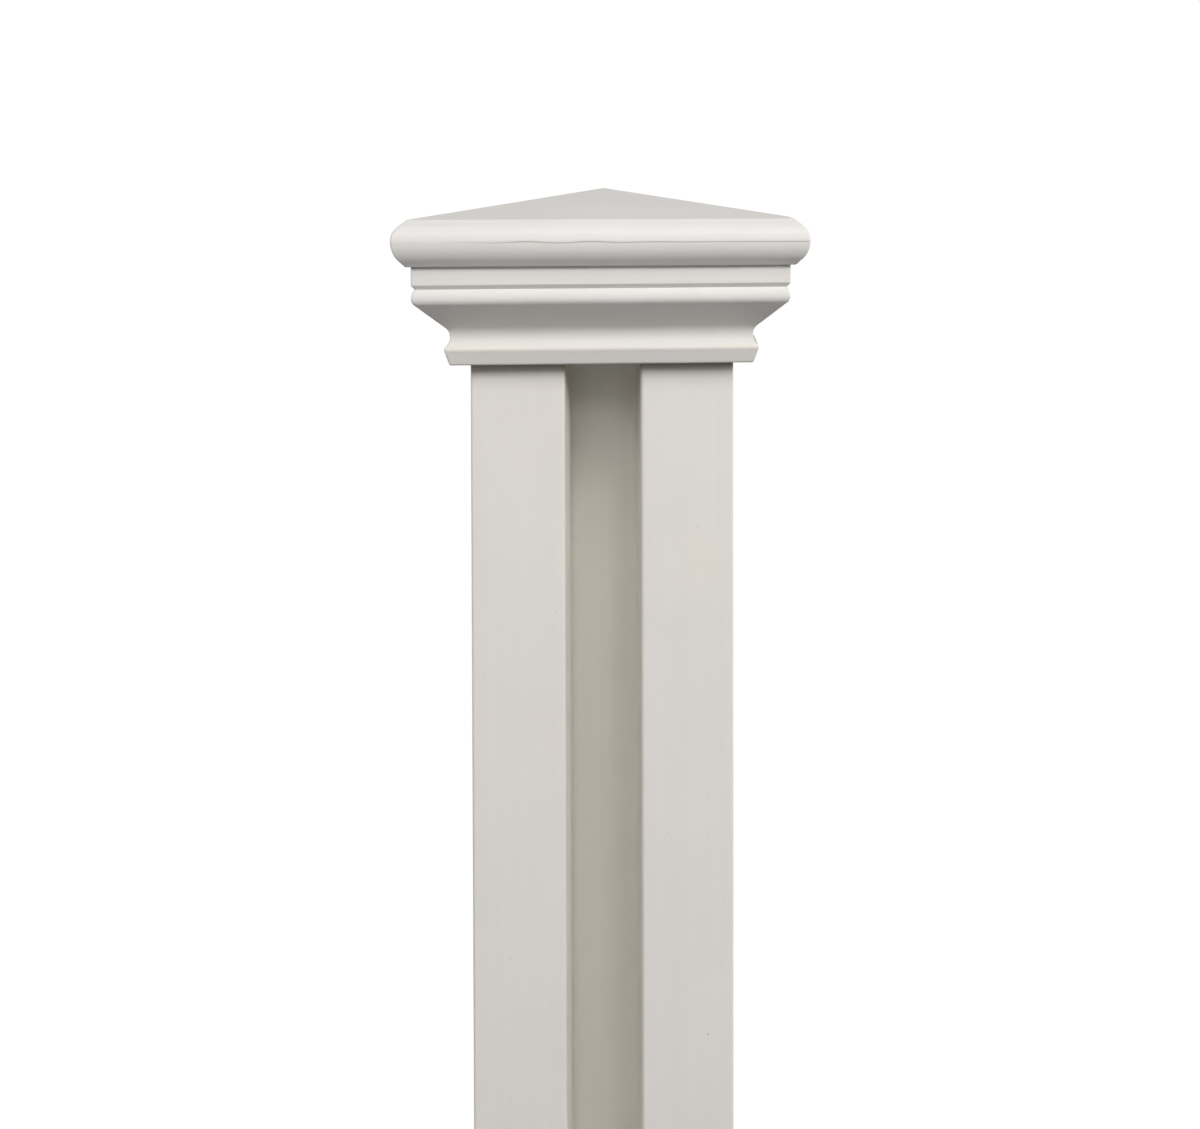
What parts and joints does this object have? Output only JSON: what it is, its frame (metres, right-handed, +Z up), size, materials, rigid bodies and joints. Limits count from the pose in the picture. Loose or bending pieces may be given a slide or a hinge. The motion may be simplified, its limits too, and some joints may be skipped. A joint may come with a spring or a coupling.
{
  "type": "fence post",
  "caption": "Square painted fence post with a panel slot down its front, a moulded neck and a cap with a round edge and a low four-sided point.",
  "frame": {"origin": "middle of the post's flat foot, at the ground line", "axes": "+Z up the post, -Y out of the slotted front face, +X to the right seen from the front"},
  "size_m": [0.2, 0.2, 1.22],
  "materials": {
    "post_paint": "smooth off-white paint, satin",
    "neck_paint": "smooth off-white paint, satin",
    "cap_paint": "smooth off-white paint, satin"
  },
  "bodies": {
    "root": {"post": "post_paint", "neck_moulding": "neck_paint", "cap": "cap_paint"}
  },
  "joints": []
}
